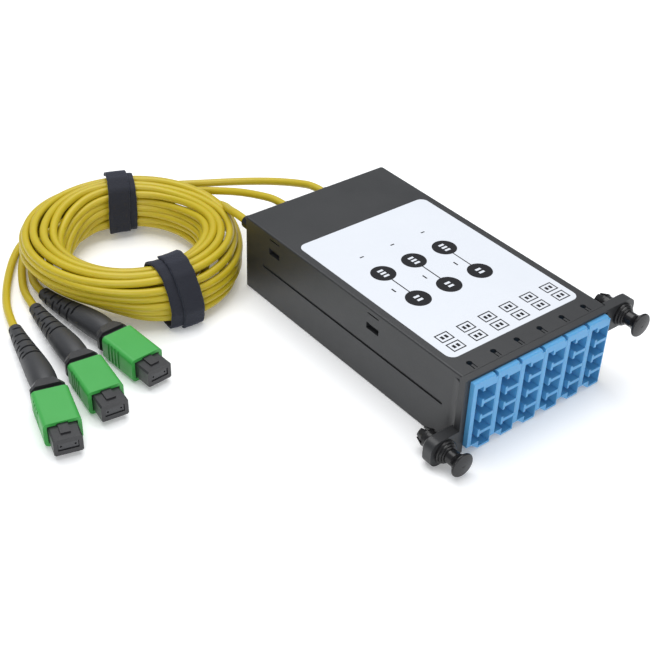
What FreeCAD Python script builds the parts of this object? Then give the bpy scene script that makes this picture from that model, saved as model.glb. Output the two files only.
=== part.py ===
import FreeCAD
import Part
import math
import os

# Fibre cassette: a moulded tray and snap-on cover, six four-port adapters in the
# front, three pre-fitted trunk cables out of the back, coiled and strapped, each
# ending in a multi-fibre push-on connector.
# Millimetres. X to the right facing the ports, Y from the port face to the rear,
# Z up. The finished parts stand with the origin in the middle of the underside.

V = FreeCAD.Vector
X_AXIS, Y_AXIS, Z_AXIS = V(1, 0, 0), V(0, 1, 0), V(0, 0, 1)

# ---- housing ----
body_width = 65.0            # across the side walls
body_depth = 117.5           # port face to rear wall
body_height = 29.7
side_wall = 1.8
rear_wall = 1.8
floor_thickness = 1.6
rear_corner_radius = 1.2
cover_thickness = 1.9
cover_edge_radius = 0.6
bezel_thickness = 2.5        # front frame, front to back
bezel_proud = 0.9            # how far it stands out past each side wall
flare_length = 3.2           # hollow curve that runs from bezel to side wall
bezel_side = 1.45            # from the outside of a side wall to the nearest adapter
bezel_lintel = 1.0           # frame above the adapters; below them it is open
adapter_recess_floor = 0.35  # the tray's floor and walls are thinner round the adapters
seat_clearance = 0.05        # between parts that are seated on each other
part_gap = 0.1               # between parts that lie side by side

# ---- side wall features ----
groove_start = 9.6
groove_end = 106.5
groove_height = 1.0
groove_depth = 0.5
groove_drop = 15.5           # below the top
snap_places = (44.6, 99.4)   # from the port face
snap_window_length = 6.2
snap_window_height = 2.5
snap_window_drop = 7.2       # below the top
snap_arm_thickness = 1.3
snap_arm_length = 5.6
snap_slot_height = 0.5

# ---- label ----
label_margin = 3.2           # to each side of the cover
label_back = 27.5            # to the cover's rear edge
label_front = 10.8
label_thickness = 0.15
label_corner = 3.0

# ---- adapters ----
adapter_count = 6
ports_per_adapter = 4
adapter_proud = 1.7          # flange face in front of the bezel
adapter_rear = 24.0          # back of the adapter, from the port face
adapter_body_inset = 0.35    # the body's left side, inside the flange
flange_base = 0.4
lower_step = 2.4             # the latch side of the flange stops short of the base
step_width = 2.1
step_run = 3.0
foot_wall = 0.4              # left under the lowest latch way
corner_notch_width = 1.2
corner_notch_height = 1.4
flange_chamfer = 0.4
port_floor = 0.7             # lowest port's floor above the foot of the flange
top_wall = 3.85              # over the highest port
shelf_thickness = 1.25       # between two ports
right_wall = 0.35
port_width = 4.7
left_wall = 0.9              # between the plug bay and the latch channel
band_width = 1.7             # flange left of the latch channel
channel_depth = 4.2          # the channel is open this far back, then come the latch ways
channel_rise = 1.1           # and reaches this far above the highest port
latch_height = 3.2
port_depth = 10.8            # behind the flange face
web_thickness = 3.0
sleeve_post_radius = 1.6
sleeve_post_length = 4.6
sleeve_radius = 0.8
sleeve_bore = 0.66
sleeve_start = 4.9           # from the port face
sleeve_length = 10.0

# ---- keyhole release marks in the cover ----
keyhole_back = 6.3
keyhole_radius = 1.05
release_slit = 0.35
release_tongue = 0.9
release_front = 2.2          # slits end this far behind the bezel's face

# ---- inner plugs and fan-out ----
plug_size = 4.4
plug_front = 15.1
plug_shoulder = 24.6
plug_latch = 0.6             # the latch side stands this much wider
plug_shoulder_length = 7.0
plug_boot_size = 2.6
plug_boot_tip = 1.5
plug_boot_length = 8.5
plug_ferrule_radius = 0.6
plug_ferrule_length = 5.0
fanout_width = 9.0
fanout_length = 22.0
fanout_height = 5.0
fanout_back = 96.0
fanout_inset = 7.0           # further from the left wall than the glands

# ---- mounting ears, grommets and plungers ----
ear_reach = 12.4             # past the side wall
ear_height = 9.7
ear_thickness = 4.5
ear_corner = 3.4
ear_chamfer = 0.7
ear_hole_inset = 6.6         # hole axis from the side wall
ear_hole_radius = 3.1
grommet_rings = ((0.0, 1.1, 4.2), (1.1, 2.0, 3.7), (2.0, 2.6, 3.15))
grommet_seat_length = 2.4    # plain shank behind the ear, where the rack panel sits
grommet_leg_length = 3.6
grommet_leg_radius = 3.35
grommet_tip_radius = 2.4
grommet_slot = 1.0
plunger_head_radius = 4.35
plunger_head_thickness = 0.9
plunger_flare = 2.3
plunger_stem_radius = 2.5
plunger_pin_radius = 1.6
plunger_tip_radius = 1.85
plunger_travel = 2.4
plunger_dome = 0.35
plunger_front = 8.5          # head's rim in front of the ear, pulled out
running_gap = 0.06

# ---- trunk cables ----
cable_diameter = 3.0
gland_inset = 3.9            # first gland from the left side
last_gland_inset = 24.7      # last gland from the right side
gland_count = 3
gland_drop = 5.9             # below the top
gland_reach = 5.0
gland_radius = 2.5
gland_neck_radius = 2.1
gland_flange_radius = 3.4
gland_bore = 1.35
lead_start = 6.0             # a cable leaves its gland straight for this far
tail_end = 6.0               # and enters its boot straight for this far

# ---- coil and straps ----
# From here on, places are measured from the housing's rear left corner.
coil_centre = (-29.1, 32.6)
coil_profile = ((28.4, 1.6), (32.8, 1.6), (33.0, 4.6), (36.0, 10.0), (39.3, 13.5),
                (39.0, 17.6), (36.0, 20.4), (29.6, 20.4), (26.2, 16.4), (26.2, 5.4))
strap_width = 11.8
strap_thickness = 1.5
strap_inner = (25.2, 40.4)   # radial span of the bundle that a strap holds
strap_level = (1.5, 20.6)
strap_angles = {"strap_rear": 66.5, "strap_front": -95.0}
strap_corner = 3.2

# ---- push-on connectors ----
# number, shoulder centre, heading of the plug, thin end of the boot, heading there
connectors = (
    (1, (-91.7, -17.2), -104.6, (-84.5, 20.1), -102.0),
    (2, (-75.9, -10.2), -96.5, (-72.9, 27.5), -96.0),
    (3, (-60.5, -2.8), -85.5, (-66.0, 34.1), -87.0),
)
connector_level = 4.5
boot_end_level = 2.6
shoulder_width = 11.6
shoulder_height = 8.4
shoulder_taper = 2.2
shoulder_length = 3.5
neck_width = 9.2
neck_height = 6.0
housing_width = 9.4
housing_height = 6.2
housing_start = 6.2
housing_end = 30.4
housing_cavity = (6.7, 2.8, 8.0)
key_width = 3.2
key_height = 0.6
key_gap = 2.4
ferrule_block = (6.4, 2.5, 7.6)
guide_hole_radius = 0.35
guide_hole_spacing = 4.6
coupling_start = 6.0
coupling_length = 17.4
coupling_width = 12.4
coupling_height = 9.0
coupling_corner = 1.6
coupling_gap = 0.2
boot_radius = 4.25
boot_plain = 14.6
boot_thin_radius = 2.4
slot_pairs = 5               # half slots, cut from above and below and then from the sides
slot_pitch = 4.5
slot_width = 1.0
slot_wall = 0.55             # left between a slot and the cable
grip_count = 4               # grooves in each narrow side of the coupling
grip_pitch = 1.9
grip_start = 3.4
grip_depth = 0.35

# ---- sizes that follow from those above ----
groove_level = body_height - groove_drop
snap_window_level = body_height - snap_window_drop
label_width = body_width - 2 * label_margin
label_length = body_depth - label_front - label_back
adapter_pitch = (body_width - 2 * bezel_side) / adapter_count
flange_width = adapter_pitch - part_gap
flange_top = body_height - bezel_lintel
adapter_base = adapter_recess_floor + seat_clearance
recess_back = plug_shoulder + plug_shoulder_length + 0.5
port_span = flange_top - flange_base - port_floor - top_wall + shelf_thickness
port_pitch = port_span / ports_per_adapter
port_height = port_pitch - shelf_thickness
port_left = flange_width - right_wall - port_width
gland_level = body_height - gland_drop
gland_pitch = (body_width - gland_inset - last_gland_inset) / (gland_count - 1)

# ---- cable routes between their straight ends: lead 1 to 3, then tail 1 to 3 ----
lead_routes = (
    ((4.9, 17.2, 22.1), (7.7, 23.6, 19.4), (10.1, 30.1, 16.2), (10.2, 37.0, 14.0), (8.1, 43.6, 12.5),
     (4.5, 48.8, 11.5), (1.0, 51.9, 11.0)),
    ((20.3, 19.5, 22.2), (17.9, 29.1, 19.9), (13.9, 37.5, 17.7), (8.9, 44.7, 16.2), (2.9, 50.1, 14.8)),
    ((38.3, 19.3, 21.8), (34.3, 27.5, 20.0), (28.7, 35.1, 18.4), (21.3, 42.1, 17.2),
     (12.9, 48.3, 16.4), (4.1, 54.1, 16.0), (-5.1, 59.1, 16.0)),
)
tail_routes = (
    ((-17.9, 67.6, 3.8), (-24.3, 73.8, 2.4), (-32.1, 77.5, 1.7), (-40.9, 78.1, 1.5),
     (-49.3, 75.8, 1.5), (-56.8, 71.1, 1.5), (-63.3, 64.3, 1.5), (-68.5, 57.1, 1.5),
     (-73.1, 49.9, 1.5), (-77.1, 42.7, 1.5), (-80.5, 35.1, 1.7)),
    ((-26.0, 66.9, 5.0), (-33.7, 70.8, 3.4), (-42.5, 72.9, 2.2), (-50.6, 71.4, 1.6),
     (-57.3, 66.6, 1.5), (-62.4, 59.1, 1.5), (-66.7, 51.0, 1.5), (-70.4, 42.1, 1.6)),
    ((-38.7, 66.2, 6.8), (-46.1, 65.1, 4.6), (-53.5, 62.3, 2.7), (-59.3, 56.5, 1.7), (-63.7, 49.1, 1.6)),
)


# ---- shared shapes ----
def box(x0, x1, y0, y1, z0, z1):
    return Part.makeBox(x1 - x0, y1 - y0, z1 - z0, V(x0, y0, z0))


def rod(radius, start, direction, length):
    return Part.makeCylinder(radius, length, start, direction)


def prism(points, direction):
    """A flat outline, given as corner points, pushed along a direction."""
    wire = Part.makePolygon(list(points) + [points[0]])
    return Part.Face(wire).extrude(direction)


def rounded_plate(width, length, thickness, radius, centre, base):
    plate = Part.makeBox(width, length, thickness, V(centre.x - width / 2, centre.y - length / 2, base))
    uprights = [e for e in plate.Edges if abs(e.tangentAt(e.FirstParameter).z) > 0.9]
    return plate.makeFillet(radius, uprights)


def turned(outline, start):
    """A solid of revolution about a line along Y: outline is (distance along Y, radius)."""
    points = [V(r, y, 0) for y, r in outline]
    wire = Part.makePolygon(points + [points[0]])
    solid = Part.Face(wire).revolve(V(0, 0, 0), Y_AXIS, 360)
    return solid.translated(start)


# ---- cable tubes: straight runs joined by tangent arcs ----
def cable_path(knots):
    edges = []
    radii = []
    here = knots[0]
    for before, corner, after in zip(knots, knots[1:], knots[2:]):
        run_in = corner - before
        run_out = after - corner
        turn = run_in.getAngle(run_out)
        trim = 0.45 * min(run_in.Length, run_out.Length)
        radii.append(trim / math.tan(turn / 2))
        start = corner - run_in.normalize() * trim
        end = corner + run_out.normalize() * trim
        bisector = (start + end) * 0.5 - corner
        inward = V(bisector).normalize()
        centre_distance = math.hypot(radii[-1], trim)
        middle = corner + inward * (centre_distance - radii[-1])
        edges.append(Part.LineSegment(here, start).toShape())
        edges.append(Part.Arc(start, middle, end).toShape())
        here = end
    edges.append(Part.LineSegment(here, knots[-1]).toShape())
    return Part.Wire(edges), radii


def cable_tube(points, name):
    path, radii = cable_path(points)
    section = Part.Wire(Part.makeCircle(cable_diameter / 2, points[0], points[1] - points[0]))
    tube = path.makePipeShell([section], True, False)
    expected = math.pi * (cable_diameter / 2) ** 2 * path.Length
    print(name, "length", round(path.Length, 1), "volume ratio", round(tube.Volume / expected, 4),
          "tightest radius", round(min(radii), 1))
    return tube


def from_corner(place, level=None):
    """A point given from the housing's rear left corner."""
    return V(place[0] - body_width / 2, place[1] + body_depth, place[2] if level is None else level)


# ---- tray: floor, walls, front frame and ears in one moulding ----
def bezel_outline():
    """Plan of the front frame with the hollow curves that meet the side walls."""
    wall_x = body_width / 2
    edge_x = wall_x + bezel_proud
    back_y = bezel_thickness + flare_length
    curve_radius = (flare_length ** 2 + bezel_proud ** 2) / (2 * bezel_proud)
    half_angle = math.asin(flare_length / curve_radius) / 2
    mid_x = wall_x + curve_radius * (1 - math.cos(half_angle))
    mid_y = back_y - curve_radius * math.sin(half_angle)
    edges = [
        Part.LineSegment(V(-edge_x, 0, 0), V(edge_x, 0, 0)),
        Part.LineSegment(V(edge_x, 0, 0), V(edge_x, bezel_thickness, 0)),
        Part.Arc(V(edge_x, bezel_thickness, 0), V(mid_x, mid_y, 0), V(wall_x, back_y, 0)),
        Part.LineSegment(V(wall_x, back_y, 0), V(-wall_x, back_y, 0)),
        Part.Arc(V(-wall_x, back_y, 0), V(-mid_x, mid_y, 0), V(-edge_x, bezel_thickness, 0)),
        Part.LineSegment(V(-edge_x, bezel_thickness, 0), V(-edge_x, 0, 0)),
    ]
    return Part.Face(Part.Wire([e.toShape() for e in edges]))


def ear(side):
    """A mounting ear: bottom of the left side, top of the right side."""
    wall_x = side * body_width / 2
    tip_x = side * (body_width / 2 + ear_reach)
    base_z = 0.0 if side < 0 else body_height - ear_height
    low_x, high_x = min(wall_x, tip_x), max(wall_x, tip_x)
    block = box(low_x, high_x, 0, ear_thickness, base_z, base_z + ear_height)
    corners = [e for e in block.Edges
               if abs(e.tangentAt(e.FirstParameter).y) > 0.9 and abs(e.Vertexes[0].X - tip_x) < 0.01]
    block = block.makeFillet(ear_corner, corners)
    rim = [e for e in block.Edges
           if all(abs(v.Y - ear_thickness) < 0.01 for v in e.Vertexes)
           and not all(abs(v.X - wall_x) < 0.01 for v in e.Vertexes)]
    return block.makeChamfer(ear_chamfer, rim)


def ear_axis(side):
    x = side * (body_width / 2 + ear_hole_inset)
    z = ear_height / 2 if side < 0 else body_height - ear_height / 2
    return V(x, 0, z)


def side_groove(side):
    outer_x = side * body_width / 2
    inner_x = outer_x - side * groove_depth
    low_x, high_x = sorted((inner_x, outer_x + side))
    groove = box(low_x, high_x, groove_start, groove_end,
                 groove_level - groove_height / 2, groove_level + groove_height / 2)
    ends = [e for e in groove.Edges if abs(e.tangentAt(e.FirstParameter).x) > 0.9]
    return groove.makeFillet(groove_height * 0.45, ends)


def gland_places():
    first = gland_inset - body_width / 2
    return [V(first + gland_pitch * i, body_depth, gland_level) for i in range(gland_count)]


def window_half_width():
    return adapter_count * adapter_pitch / 2 + part_gap


def base_tray():
    seam = body_height - cover_thickness
    half = body_width / 2
    shell = box(-half, half, bezel_thickness, body_depth, 0, seam)
    rear_edges = [e for e in shell.Edges
                  if abs(e.tangentAt(e.FirstParameter).z) > 0.9 and abs(e.Vertexes[0].Y - body_depth) < 0.01]
    shell = shell.makeFillet(rear_corner_radius, rear_edges)
    shell = shell.fuse(bezel_outline().extrude(V(0, 0, seam)))
    frame_top = box(-half - bezel_proud, half + bezel_proud, 0, bezel_thickness, seam, body_height)
    shell = shell.fuse([frame_top, ear(-1), ear(1)])
    cavity = box(-half + side_wall, half - side_wall, bezel_thickness, body_depth - rear_wall,
                 floor_thickness, body_height + 1)
    window = box(-window_half_width(), window_half_width(), -1, bezel_thickness,
                 -1, flange_top + seat_clearance)
    recess = box(-window_half_width(), window_half_width(), bezel_thickness, recess_back,
                 adapter_recess_floor, body_height + 1)
    shell = shell.cut([cavity, window, recess])
    cutters = []
    for side in (-1, 1):
        cutters.append(side_groove(side))
        cutters.append(rod(ear_hole_radius, ear_axis(side) - Y_AXIS, Y_AXIS, ear_thickness + 2))
        wall_low, wall_high = sorted((side * (half + 1), side * (half - side_wall - 1)))
        for place in snap_places:
            cutters.append(box(wall_low, wall_high,
                               place - snap_window_length / 2, place + snap_window_length / 2,
                               snap_window_level - snap_window_height / 2,
                               snap_window_level + snap_window_height / 2))
            cutters.append(box(wall_low, wall_high,
                               place - snap_arm_length / 2, place + snap_arm_length / 2,
                               seam - snap_slot_height, seam + 1))
    for place in gland_places():
        cutters.append(rod(gland_neck_radius + seat_clearance, place - Y_AXIS * (rear_wall + 1),
                           Y_AXIS, rear_wall + 2))
    tray = shell.cut(cutters)
    return tray.removeSplitter()


# ---- cover: a flat plate with four snap arms and the release marks ----
def adapter_middle(index):
    return (index - (adapter_count - 1) / 2) * adapter_pitch


def release_mark(index):
    """A keyhole: a round hole with two slits that free a narrow tongue."""
    x = adapter_middle(index)
    low = body_height - cover_thickness - 1
    hole = rod(keyhole_radius, V(x, keyhole_back, low), Z_AXIS, cover_thickness + 2)
    cuts = [hole]
    for side in (-1, 1):
        centre = x + side * (release_tongue + release_slit) / 2
        cuts.append(box(centre - release_slit / 2, centre + release_slit / 2,
                        release_front + bezel_thickness * 0.4, keyhole_back, low, body_height + 1))
    return cuts


def top_cover():
    half = body_width / 2
    seam = body_height - cover_thickness
    front = bezel_thickness + part_gap
    plate = box(-half, half, front, body_depth, seam, body_height)
    rear_edges = [e for e in plate.Edges
                  if abs(e.tangentAt(e.FirstParameter).z) > 0.9 and abs(e.Vertexes[0].Y - body_depth) < 0.01]
    plate = plate.makeFillet(rear_corner_radius, rear_edges)
    rim = [e for e in plate.Edges
           if all(abs(v.Z - body_height) < 0.01 for v in e.Vertexes)
           and not all(abs(v.Y - front) < 0.01 for v in e.Vertexes)]
    plate = plate.makeFillet(cover_edge_radius, rim)
    arms = []
    for side in (-1, 1):
        outer = half - side_wall - seat_clearance
        for place in snap_places:
            low, high = sorted((side * outer, side * (outer - snap_arm_thickness)))
            arms.append(box(low, high, place - snap_arm_length / 2, place + snap_arm_length / 2,
                            snap_window_level - snap_window_height / 2 - 1.0, seam))
            catch = [V(side * outer, 0, snap_window_level + snap_window_height / 2 - 0.15),
                     V(side * (outer + 1.1), 0, snap_window_level + snap_window_height / 2 - 0.15),
                     V(side * (outer + 1.1), 0, snap_window_level + 0.2),
                     V(side * outer, 0, snap_window_level - snap_window_height / 2 + 0.3)]
            catch = [p + V(0, place - snap_arm_length / 2, 0) for p in catch]
            arms.append(prism(catch, V(0, snap_arm_length, 0)))
    plate = plate.fuse(arms)
    cuts = []
    for index in range(adapter_count):
        cuts.extend(release_mark(index))
    cuts.append(label_sheet(part_gap))
    return plate.cut(cuts).removeSplitter()


def label_sheet(extra=0.0):
    centre = V(0, label_front + label_length / 2, 0)
    return rounded_plate(label_width + 2 * extra, label_length + 2 * extra,
                         label_thickness + extra * 10, label_corner, centre, body_height - label_thickness)


# ---- adapters ----
def port_level(row):
    return flange_base + port_floor + row * port_pitch


def latch_levels(row):
    """Bottom and top of a latch way; the lowest one stays above the stepped foot."""
    middle = port_level(row) + port_height / 2
    lowest = flange_base + lower_step + foot_wall
    return max(middle - latch_height / 2, lowest), middle + latch_height / 2


def adapter_left(index):
    return adapter_middle(index) - flange_width / 2


def flange_outline(left):
    """Front view of one adapter, with its stepped foot and top corner notch."""
    right = left + flange_width
    return [V(left, 0, flange_base + lower_step),
            V(left + step_width, 0, flange_base + lower_step),
            V(left + step_width + step_run, 0, flange_base),
            V(right, 0, flange_base),
            V(right, 0, flange_top - corner_notch_height),
            V(right - corner_notch_width, 0, flange_top - corner_notch_height),
            V(right - corner_notch_width, 0, flange_top),
            V(left, 0, flange_top)]


def port_outline(left, row):
    """Plug bay on the right, joined through its left wall to the narrower latch way."""
    floor = port_level(row)
    latch_low, latch_high = latch_levels(row)
    bay_left = left + port_left
    bay_right = bay_left + port_width
    latch_edge = left + band_width
    return [V(bay_left, 0, floor), V(bay_right, 0, floor),
            V(bay_right, 0, floor + port_height), V(bay_left, 0, floor + port_height),
            V(bay_left, 0, latch_high), V(latch_edge, 0, latch_high),
            V(latch_edge, 0, latch_low), V(bay_left, 0, latch_low)]


def latch_channel(left):
    """The open recess that the latches of all four ports look out of."""
    top = port_level(ports_per_adapter - 1) + port_height + channel_rise
    return box(left + band_width, left + port_left - left_wall, -adapter_proud - 1,
               channel_depth - adapter_proud, latch_levels(0)[0], top)


def port_axis(index, row):
    left = adapter_left(index)
    return V(left + port_left + port_width / 2, 0, port_level(row) + port_height / 2)


def port_adapter(index):
    left = adapter_left(index)
    front = -adapter_proud
    flange = prism(flange_outline(left), V(0, bezel_thickness - seat_clearance - front, 0))
    flange = flange.translated(V(0, front, 0))
    edge = [e for e in flange.Edges
            if all(abs(v.Z - flange_top) < 0.01 and abs(v.Y - front) < 0.01 for v in e.Vertexes)]
    flange = flange.makeChamfer(flange_chamfer, edge)
    top_limit = body_height - cover_thickness - seat_clearance
    body = box(left + adapter_body_inset, left + flange_width - part_gap,
               bezel_thickness - seat_clearance, adapter_rear, adapter_base, top_limit)
    foot_space = [V(left - 1, 0, adapter_base - 1), V(left + step_width + step_run, 0, adapter_base - 1),
                  V(left + step_width + step_run, 0, flange_base),
                  V(left + step_width, 0, flange_base + lower_step),
                  V(left - 1, 0, flange_base + lower_step)]
    adapter = flange.fuse(body).cut(prism(foot_space, V(0, adapter_rear + 1, 0)))
    web_front = front + port_depth
    rear_half = plug_size / 2 + part_gap
    cuts = [latch_channel(left)]
    posts = []
    for row in range(ports_per_adapter):
        bay = prism(port_outline(left, row), V(0, port_depth + 1, 0))
        cuts.append(bay.translated(V(0, front - 1, 0)))
        axis = port_axis(index, row)
        cuts.append(box(axis.x - rear_half, axis.x + rear_half, web_front + web_thickness, adapter_rear + 1,
                        axis.z - rear_half, axis.z + rear_half))
        posts.append(rod(sleeve_post_radius, V(axis.x, web_front - sleeve_post_length, axis.z),
                         Y_AXIS, sleeve_post_length))
    adapter = adapter.cut(cuts).fuse(posts)
    bores = []
    for row in range(ports_per_adapter):
        axis = port_axis(index, row)
        bores.append(rod(sleeve_radius + seat_clearance, V(axis.x, web_front - sleeve_post_length - 1, axis.z),
                         Y_AXIS, sleeve_post_length + web_thickness + 2))
    return adapter.cut(bores).removeSplitter()


def alignment_sleeves():
    """One ceramic alignment tube in every port."""
    tubes = []
    for index in range(adapter_count):
        for row in range(ports_per_adapter):
            axis = port_axis(index, row) + Y_AXIS * sleeve_start
            tube = rod(sleeve_radius, axis, Y_AXIS, sleeve_length)
            tubes.append(tube.cut(rod(sleeve_bore, axis - Y_AXIS, Y_AXIS, sleeve_length + 2)))
    return Part.makeCompound(tubes)


# ---- what lies inside: a plug in the back of every port, and the fan-outs ----
def square_wire(axis, y, size):
    h = size / 2
    points = [V(axis.x - h, y, axis.z - h), V(axis.x + h, y, axis.z - h),
              V(axis.x + h, y, axis.z + h), V(axis.x - h, y, axis.z + h)]
    return Part.makePolygon(points + [points[0]])


def inner_plugs(index):
    plugs = []
    for row in range(ports_per_adapter):
        axis = port_axis(index, row)
        half = plug_size / 2
        boot_start = plug_shoulder + plug_shoulder_length
        body = box(axis.x - half, axis.x + half, plug_front, plug_shoulder, axis.z - half, axis.z + half)
        shoulder = box(axis.x - half - plug_latch, axis.x + half, plug_shoulder, boot_start,
                       axis.z - half, axis.z + half)
        boot = Part.makeLoft([square_wire(axis, boot_start, plug_boot_size),
                              square_wire(axis, boot_start + plug_boot_length, plug_boot_tip)], True)
        ferrule = rod(plug_ferrule_radius, V(axis.x, plug_front - plug_ferrule_length, axis.z),
                      Y_AXIS, plug_ferrule_length)
        plugs.append(body.fuse([shoulder, boot, ferrule]).removeSplitter())
    return Part.makeCompound(plugs)


def fanout(index):
    """Where one trunk cable divides into its fibres, stuck to the tray floor."""
    place = gland_places()[index] + X_AXIS * fanout_inset
    block = box(place.x - fanout_width / 2, place.x + fanout_width / 2, fanout_back - fanout_length, fanout_back,
                floor_thickness, floor_thickness + fanout_height)
    uprights = [e for e in block.Edges if abs(e.tangentAt(e.FirstParameter).z) > 0.9]
    return block.makeFillet(1.5, uprights)


# ---- cable glands ----
def gland(place):
    inside = -(rear_wall + 1.2)
    outline = [(inside, gland_bore), (inside, gland_flange_radius), (-rear_wall, gland_flange_radius),
               (-rear_wall, gland_neck_radius), (0, gland_neck_radius), (0, gland_radius),
               (gland_reach - 0.6, gland_radius), (gland_reach, gland_radius - 0.4),
               (gland_reach, gland_bore)]
    beside_wall = box(-body_width, -body_width / 2 + side_wall + part_gap, 0, place.y - rear_wall,
                      0, body_height)
    return turned(outline, place).cut(beside_wall)


# ---- push-pull fasteners ----
def grommet(side):
    axis = ear_axis(side)
    ring_outline = []
    for start, end, radius in grommet_rings:
        ring_outline.append((-start, radius))
        ring_outline.append((-end + 0.3, radius))
        ring_outline.append((-end, radius - 0.3))
    shank = ear_hole_radius - seat_clearance
    seat_end = ear_thickness + grommet_seat_length
    leg_end = seat_end + grommet_leg_length
    stem_bore = plunger_stem_radius + running_gap
    pin_bore = plunger_tip_radius + running_gap
    step = plunger_travel + 0.6
    front = -grommet_rings[-1][1]
    outline = [(front, stem_bore)] + ring_outline[::-1] + [
        (0, shank), (seat_end, shank), (seat_end + 0.9, grommet_leg_radius),
        (leg_end, grommet_tip_radius), (leg_end, pin_bore), (step, pin_bore), (step, stem_bore)]
    body = turned(outline, axis)
    slot_start = V(axis.x, seat_end + 0.4, axis.z)
    reach = grommet_leg_radius + 1
    slots = [box(slot_start.x - grommet_slot / 2, slot_start.x + grommet_slot / 2, slot_start.y, leg_end + 1,
                 axis.z - reach, axis.z + reach),
             box(slot_start.x - reach, slot_start.x + reach, slot_start.y, leg_end + 1,
                 axis.z - grommet_slot / 2, axis.z + grommet_slot / 2)]
    return body.cut(slots)


def plunger(side):
    """Head, hollow flare and stem, with a thinner pin that spreads the grommet's legs."""
    axis = ear_axis(side)
    face = -plunger_front
    head_back = face + plunger_head_thickness
    stem_start = head_back + plunger_flare
    stem_end = 0.4
    tip = ear_thickness + grommet_seat_length + 2.4
    flare_mid = V(plunger_stem_radius + 0.45, head_back + plunger_flare * 0.55, 0)
    rim = plunger_head_radius - 0.25
    dome_radius = (rim ** 2 + plunger_dome ** 2) / (2 * plunger_dome)
    dome_middle = V(rim / 2, face - plunger_dome + dome_radius - math.sqrt(dome_radius ** 2 - rim ** 2 / 4), 0)
    edges = [
        Part.LineSegment(V(0, face - plunger_dome, 0), V(0, tip, 0)),
        Part.LineSegment(V(0, tip, 0), V(plunger_pin_radius, tip - 0.3, 0)),
        Part.LineSegment(V(plunger_pin_radius, tip - 0.3, 0), V(plunger_tip_radius, tip - 0.9, 0)),
        Part.LineSegment(V(plunger_tip_radius, tip - 0.9, 0), V(plunger_pin_radius, tip - 1.8, 0)),
        Part.LineSegment(V(plunger_pin_radius, tip - 1.8, 0), V(plunger_pin_radius, stem_end, 0)),
        Part.LineSegment(V(plunger_pin_radius, stem_end, 0), V(plunger_stem_radius, stem_end, 0)),
        Part.LineSegment(V(plunger_stem_radius, stem_end, 0), V(plunger_stem_radius, stem_start, 0)),
        Part.Arc(V(plunger_stem_radius, stem_start, 0), flare_mid, V(plunger_head_radius - 0.2, head_back, 0)),
        Part.Arc(V(plunger_head_radius - 0.2, head_back, 0), V(plunger_head_radius, head_back - 0.45, 0),
                 V(rim, face, 0)),
        Part.Arc(V(rim, face, 0), dome_middle, V(0, face - plunger_dome, 0)),
    ]
    half = Part.Face(Part.Wire([e.toShape() for e in edges]))
    return half.revolve(V(0, 0, 0), Y_AXIS, 360).translated(axis)


# ---- coil and straps ----
def cable_coil():
    points = [V(r, 0, z) for r, z in coil_profile]
    section = Part.Face(Part.makePolygon(points + [points[0]]))
    ring = section.revolve(V(0, 0, 0), Z_AXIS, 360)
    return ring.translated(from_corner(coil_centre, 0))


def strap(name):
    """A closed band round the bundle, flat under it and rounded over it."""
    near, far = strap_inner
    low, high = strap_level
    thick = strap_thickness
    outer = Part.makeBox(far - near + 2 * thick, strap_width, high - low + 2 * thick,
                         V(near - thick, -strap_width / 2, low - thick))
    inner = Part.makeBox(far - near, strap_width + 2, high - low, V(near, -strap_width / 2 - 1, low))

    def long_edges(shape):
        return [e for e in shape.Edges if abs(e.tangentAt(e.FirstParameter).y) > 0.9]

    outer = outer.makeFillet(strap_corner + thick, long_edges(outer))
    inner = inner.makeFillet(strap_corner, long_edges(inner))
    band = outer.cut(inner)
    band.rotate(V(0, 0, 0), Z_AXIS, strap_angles[name])
    return band.translated(from_corner(coil_centre, 0))


# ---- push-on connectors: X forward from the shoulder, before they are placed ----
def block_x(x0, x1, width, height):
    return box(x0, x1, -width / 2, width / 2, -height / 2, height / 2)


def section_wire(x, width, height, corner):
    w, h = width / 2, height / 2
    points = [V(x, -w + corner, -h), V(x, w - corner, -h), V(x, w, -h + corner), V(x, w, h - corner),
              V(x, w - corner, h), V(x, -w + corner, h), V(x, -w, h - corner), V(x, -w, -h + corner)]
    return Part.makePolygon(points + [points[0]])


def connector_shoulder():
    taper = Part.makeLoft([section_wire(0, 2 * boot_radius + 0.3, shoulder_height, 1.8),
                           section_wire(shoulder_taper, shoulder_width, shoulder_height, 1.8)], True)
    collar = Part.Face(section_wire(shoulder_taper, shoulder_width, shoulder_height, 1.8))
    collar = collar.extrude(V(shoulder_length - shoulder_taper, 0, 0))
    neck = block_x(shoulder_length, housing_start, neck_width, neck_height)
    return taper.fuse([collar, neck]).removeSplitter()


def connector_housing():
    body = block_x(housing_start, housing_end, housing_width, housing_height)
    long_edges = [e for e in body.Edges if abs(e.tangentAt(e.FirstParameter).x) > 0.9]
    body = body.makeChamfer(0.5, long_edges)
    key = box(coupling_start + coupling_length - 3, housing_end - key_gap, -key_width / 2, key_width / 2,
              0, housing_height / 2 + key_height)
    body = body.fuse(key)
    wide, high, deep = housing_cavity
    return body.cut(block_x(housing_end - deep, housing_end + 1, wide, high)).removeSplitter()


def connector_ferrule():
    wide, high, deep = ferrule_block
    back = housing_end - housing_cavity[2]
    block = block_x(back, back + deep, wide, high)
    holes = [rod(guide_hole_radius, V(back + deep - 3, side * guide_hole_spacing / 2, 0), X_AXIS, 4)
             for side in (-1, 1)]
    return block.cut(holes)


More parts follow.
